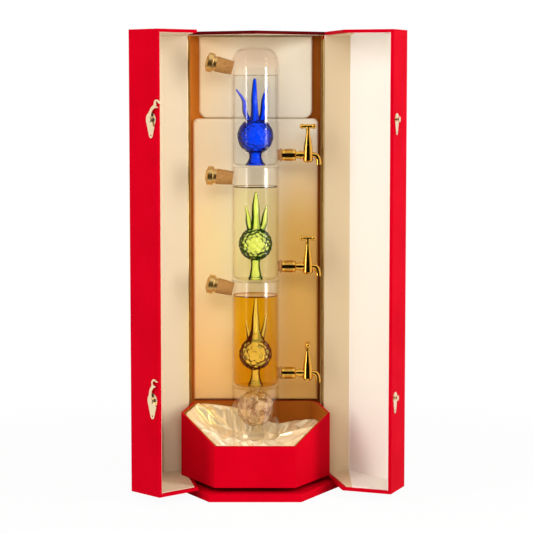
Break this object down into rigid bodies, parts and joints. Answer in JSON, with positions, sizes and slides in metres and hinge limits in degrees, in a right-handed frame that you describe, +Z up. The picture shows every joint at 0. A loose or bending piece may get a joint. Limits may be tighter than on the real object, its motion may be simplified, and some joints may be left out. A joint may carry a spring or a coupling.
{
  "type": "drink tower",
  "caption": "Tall clear glass drink tower with stacked chambers, corked filling ports, side taps and coloured agave ornaments, standing in a hinged lined presentation case.",
  "frame": {"origin": "under the plinth on the floor, on the tower's axis", "axes": "+Z up along the tower, -Y towards the open front of the case, +X towards the taps"},
  "size_m": [0.4115, 0.2162, 0.7005],
  "materials": {
    "red_leatherette": "embossed, semi-gloss",
    "cream_lining": "smooth satin paper",
    "satin": "glossy satin",
    "clear_glass": "polished",
    "blue_glass": "polished, coloured",
    "green_glass": "polished, coloured",
    "clear_drink": "liquid",
    "straw_drink": "liquid",
    "amber_drink": "liquid",
    "cork": "ground cork",
    "gold": "polished",
    "hinge_brass": "satin",
    "latch_gold": "cast, polished",
    "bung": "matte"
  },
  "bodies": {
    "case_and_tower": {"plinth": "red_leatherette", "back_shell": "red_leatherette", "tray_riser": "red_leatherette", "top_cap": "red_leatherette", "tray": "red_leatherette", "upper_back_pad": "cream_lining", "lower_back_pad": "cream_lining", "satin_lining": "satin", "left_hinge_body_leaf": "hinge_brass", "left_hinge_pin": "hinge_brass", "right_hinge_body_leaf": "hinge_brass", "right_hinge_pin": "hinge_brass", "upper_chamber": "clear_glass", "upper_tap_bung": "bung", "upper_tap_nut": "gold", "upper_tap_body": "gold", "middle_chamber": "clear_glass", "middle_tap_bung": "bung", "middle_tap_nut": "gold", "middle_tap_body": "gold", "lower_chamber": "clear_glass", "lower_tap_bung": "bung", "lower_tap_nut": "gold", "lower_tap_body": "gold", "glass_foot": "clear_glass", "foot_bulb": "clear_glass", "blue_agave": "blue_glass", "green_agave": "green_glass", "clear_agave": "clear_glass", "upper_drink": "clear_drink", "middle_drink": "straw_drink", "lower_drink": "amber_drink"},
    "left_door": {"left_hinge_door_leaf": "hinge_brass", "left_door_shell": "red_leatherette", "left_door_floor": "red_leatherette", "left_door_roof": "red_leatherette", "left_door_lining": "cream_lining", "upper_hook_plate": "latch_gold", "lower_hook_plate": "latch_gold"},
    "right_door": {"right_hinge_door_leaf": "hinge_brass", "right_door_shell": "red_leatherette", "right_door_floor": "red_leatherette", "right_door_roof": "red_leatherette", "right_door_lining": "cream_lining", "upper_catch": "latch_gold", "lower_catch": "latch_gold"},
    "upper_hook": {"upper_hook": "latch_gold"},
    "lower_hook": {"lower_hook": "latch_gold"},
    "upper_stopper": {"upper_cork": "cork", "upper_stopper_cap": "gold"},
    "upper_key": {"upper_tap_key": "gold"},
    "middle_stopper": {"middle_cork": "cork", "middle_stopper_cap": "gold"},
    "middle_key": {"middle_tap_key": "gold"},
    "lower_stopper": {"lower_cork": "cork", "lower_stopper_cap": "gold"},
    "lower_key": {"lower_tap_key": "gold"}
  },
  "joints": [
    {"name": "left_door_hinge", "type": "hinge", "parent": "case_and_tower", "child": "left_door", "pos_m": [-0.106, 0.036, 0.35], "axis": [0, 0, -1], "range_deg": [-47, 45]},
    {"name": "right_door_hinge", "type": "hinge", "parent": "case_and_tower", "child": "right_door", "pos_m": [0.106, 0.036, 0.35], "axis": [0, 0, 1], "range_deg": [-68, 25]},
    {"name": "upper_hook_pivot", "type": "hinge", "parent": "left_door", "child": "upper_hook", "pos_m": [-0.15223, -0.1329, 0.569], "axis": [-0.7314, -0.682, 0], "range_deg": [-55, 0]},
    {"name": "lower_hook_pivot", "type": "hinge", "parent": "left_door", "child": "lower_hook", "pos_m": [-0.15223, -0.1329, 0.156], "axis": [-0.7314, -0.682, 0], "range_deg": [-75, 0]},
    {"name": "upper_stopper_pull", "type": "slide", "parent": "case_and_tower", "child": "upper_stopper", "axis": [-0.9703, 0, 0.2419], "range_m": [0, 0.024]},
    {"name": "middle_stopper_pull", "type": "slide", "parent": "case_and_tower", "child": "middle_stopper", "axis": [-0.9945, 0, 0.1045], "range_m": [0, 0.024]},
    {"name": "lower_stopper_pull", "type": "slide", "parent": "case_and_tower", "child": "lower_stopper", "axis": [-0.9744, 0, 0.225], "range_m": [0, 0.024]},
    {"name": "upper_tap_turn", "type": "hinge", "parent": "case_and_tower", "child": "upper_key", "pos_m": [0.08, 0, 0.513], "axis": [0, 0, 1], "range_deg": [0, 90]},
    {"name": "middle_tap_turn", "type": "hinge", "parent": "case_and_tower", "child": "middle_key", "pos_m": [0.08, 0, 0.3425], "axis": [0, 0, 1], "range_deg": [0, 90]},
    {"name": "lower_tap_turn", "type": "hinge", "parent": "case_and_tower", "child": "lower_key", "pos_m": [0.08, 0, 0.178], "axis": [0, 0, 1], "range_deg": [-90, 0]}
  ]
}
